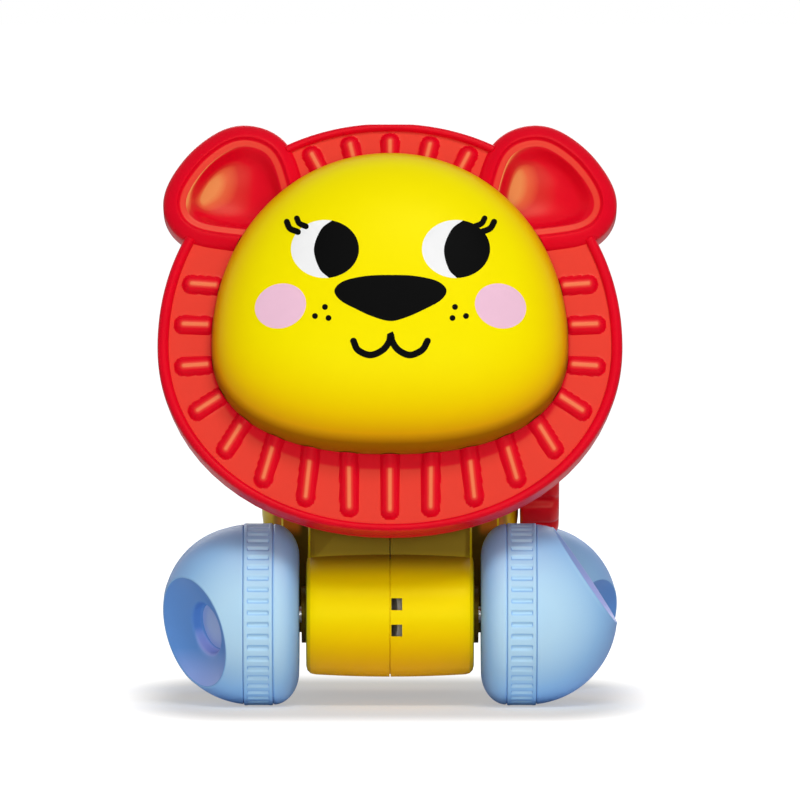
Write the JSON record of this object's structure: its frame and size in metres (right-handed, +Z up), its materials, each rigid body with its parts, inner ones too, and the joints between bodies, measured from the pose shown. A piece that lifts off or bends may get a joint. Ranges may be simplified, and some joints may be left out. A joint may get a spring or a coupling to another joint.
{
  "type": "musical lion toy",
  "caption": "Rolling toy with a red-maned, yellow-faced lion head that sways over a yellow body on ball-sided blue wheels; a side knob winds a pinned-cylinder music movement.",
  "frame": {"origin": "on the floor under the middle of the toy's box, as it stands on its four wheels", "axes": "+Z up, the lion looks along -Y, +X is the lion's left"},
  "size_m": [0.1392, 0.1581, 0.1748],
  "materials": {
    "mane_red": "glossy moulded",
    "face_yellow": "glossy moulded, printed face",
    "body_yellow": "glossy moulded",
    "wheel_blue": "satin moulded",
    "knob_red": "glossy moulded",
    "white_plastic": "satin moulded",
    "steel": "turned, bright",
    "brass": "turned, bright"
  },
  "bodies": {
    "body": {"body_left": "body_yellow", "body_right": "body_yellow", "body_screws": "steel", "pivot_pin": "steel", "front_bushes": "white_plastic", "rear_bushes": "white_plastic", "movement_plate_left": "steel", "movement_plate_right": "steel", "movement_pillars": "brass", "movement_screws": "steel", "comb_bridge": "steel", "music_comb": "steel", "comb_screws": "steel", "ratchet_click": "steel"},
    "head": {"mane": "mane_red", "face_shell": "face_yellow", "head_back_cover": "mane_red", "head_screws": "steel", "swing_arm": "white_plastic", "arm_screws": "steel"},
    "front_wheels": {"front_axle_rod": "steel", "tilted_disc": "white_plastic", "front_left_dome": "wheel_blue", "front_left_tread": "wheel_blue", "front_left_cap": "wheel_blue", "front_right_dome": "wheel_blue", "front_right_tread": "wheel_blue", "front_right_cap": "wheel_blue"},
    "rear_wheels": {"rear_axle_rod": "steel", "rear_left_dome": "wheel_blue", "rear_left_tread": "wheel_blue", "rear_left_cap": "wheel_blue", "rear_right_dome": "wheel_blue", "rear_right_tread": "wheel_blue", "rear_right_cap": "wheel_blue"},
    "winder": {"winding_knob": "knob_red", "knob_screw": "steel", "winding_arbor": "steel", "ratchet_wheel": "steel"},
    "spring_barrel": {"spring_drum": "brass", "drum_lid": "brass", "mainspring": "steel"},
    "cylinder": {"music_cylinder": "brass", "cylinder_pinion": "brass", "cylinder_wheel": "brass"},
    "governor": {"governor_pinion": "steel", "governor_fan": "white_plastic"}
  },
  "joints": [
    {"name": "front_axle_spin", "type": "hinge", "parent": "body", "child": "front_wheels", "pos_m": [0, -0.034, 0.0274], "axis": [1, 0, 0], "continuous": true},
    {"name": "rear_axle_spin", "type": "hinge", "parent": "body", "child": "rear_wheels", "pos_m": [0, 0.044, 0.0254], "axis": [1, 0, 0], "continuous": true},
    {"name": "head_swing", "type": "hinge", "parent": "body", "child": "head", "pos_m": [0, -0.015, 0.02], "axis": [0, 1, 0], "range_deg": [-10, 10]},
    {"name": "winder_turn", "type": "hinge", "parent": "body", "child": "winder", "pos_m": [0, 0.016, 0.07], "axis": [1, 0, 0], "continuous": true},
    {"name": "barrel_spin", "type": "hinge", "parent": "body", "child": "spring_barrel", "pos_m": [0, 0.016, 0.07], "axis": [1, 0, 0], "continuous": true},
    {"name": "cylinder_spin", "type": "hinge", "parent": "body", "child": "cylinder", "pos_m": [0, 0.0393, 0.06152], "axis": [1, 0, 0], "continuous": true},
    {"name": "governor_spin", "type": "hinge", "parent": "body", "child": "governor", "pos_m": [0, 0.0279, 0.04177], "axis": [1, 0, 0], "continuous": true}
  ],
  "couplings": [
    {"joint": "cylinder_spin", "follows": "barrel_spin", "ratio": -2.4444},
    {"joint": "governor_spin", "follows": "barrel_spin", "ratio": 5.7516}
  ]
}
